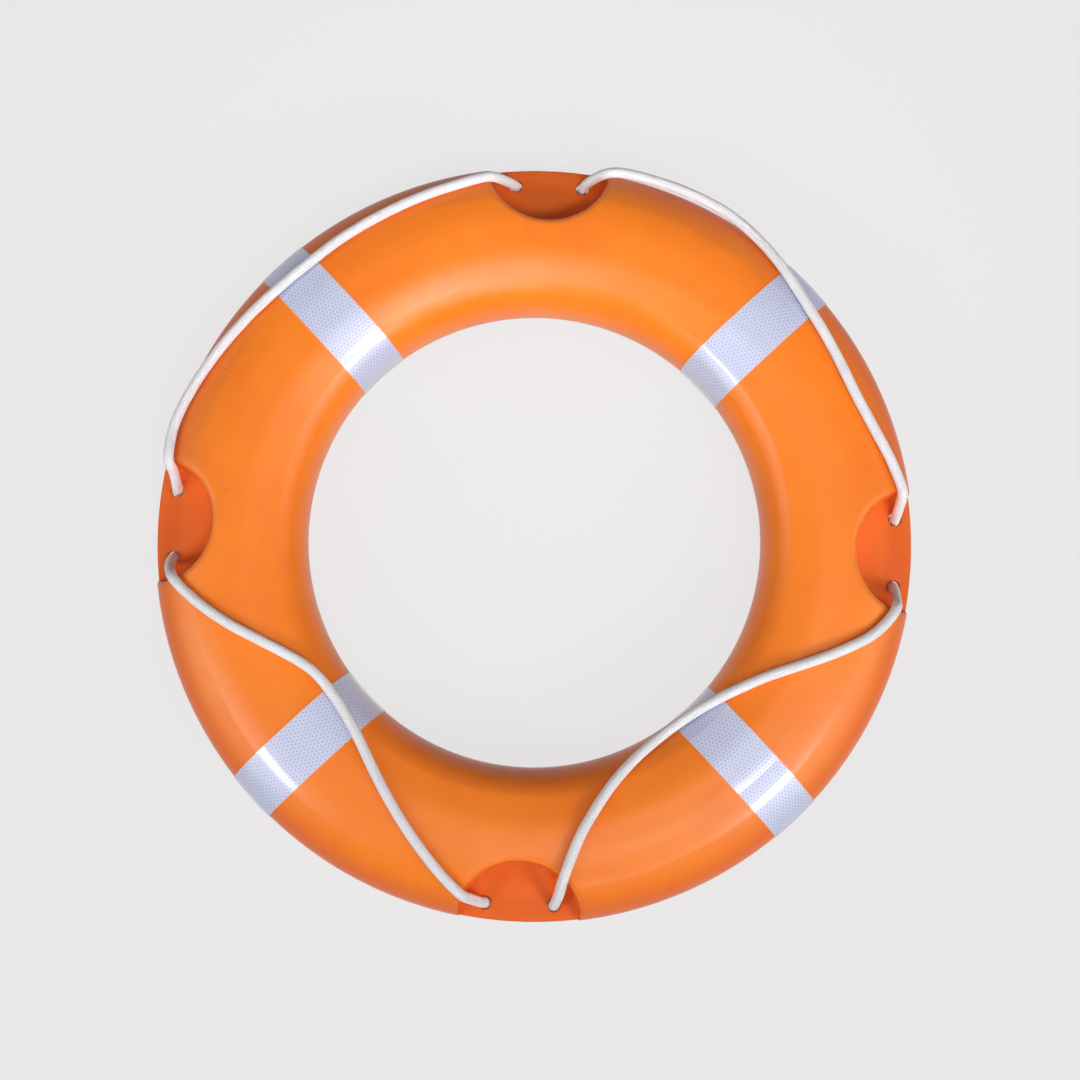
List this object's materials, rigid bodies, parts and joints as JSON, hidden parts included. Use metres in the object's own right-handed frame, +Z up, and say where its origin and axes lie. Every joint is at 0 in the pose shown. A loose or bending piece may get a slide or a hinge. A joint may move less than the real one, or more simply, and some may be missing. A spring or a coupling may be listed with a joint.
{
  "type": "life ring",
  "caption": "Rigid foam-filled life ring with rim notches, rope flanges, wrapped reflective bands and a white braided grab line lying over its face.",
  "frame": {"origin": "centre of the ring on the plane that it rests on, under the lowest points of the four bands", "axes": "+Z up along the ring's axis, the side with the loops of the grab line up; +Y and +X through two notches, the line's ends in the notch on -Y"},
  "size_m": [0.7296, 0.7296, 0.1194],
  "materials": {
    "orange_polyethylene": "satin moulded, slightly scuffed",
    "closed_cell_foam": "rigid closed-cell foam",
    "retroreflective_tape": "silver sheeting with a fine honeycomb",
    "white_braided_line": "braided"
  },
  "bodies": {
    "root": {"shell_upper": "orange_polyethylene", "shell_lower": "orange_polyethylene", "foam_core": "closed_cell_foam", "filler_plug": "orange_polyethylene", "vent_plug": "orange_polyethylene", "tape_band_1": "retroreflective_tape", "tape_band_2": "retroreflective_tape", "tape_band_3": "retroreflective_tape", "tape_band_4": "retroreflective_tape", "grab_line_loop_1": "white_braided_line", "grab_line_loop_2": "white_braided_line", "grab_line_loop_3": "white_braided_line", "grab_line_loop_4": "white_braided_line", "grab_line_bight_1": "white_braided_line", "grab_line_bight_2": "white_braided_line", "grab_line_bight_3": "white_braided_line", "grab_line_tail_1": "white_braided_line", "grab_line_tail_2": "white_braided_line", "stopper_knot_1": "white_braided_line", "stopper_knot_2": "white_braided_line"}
  },
  "joints": []
}
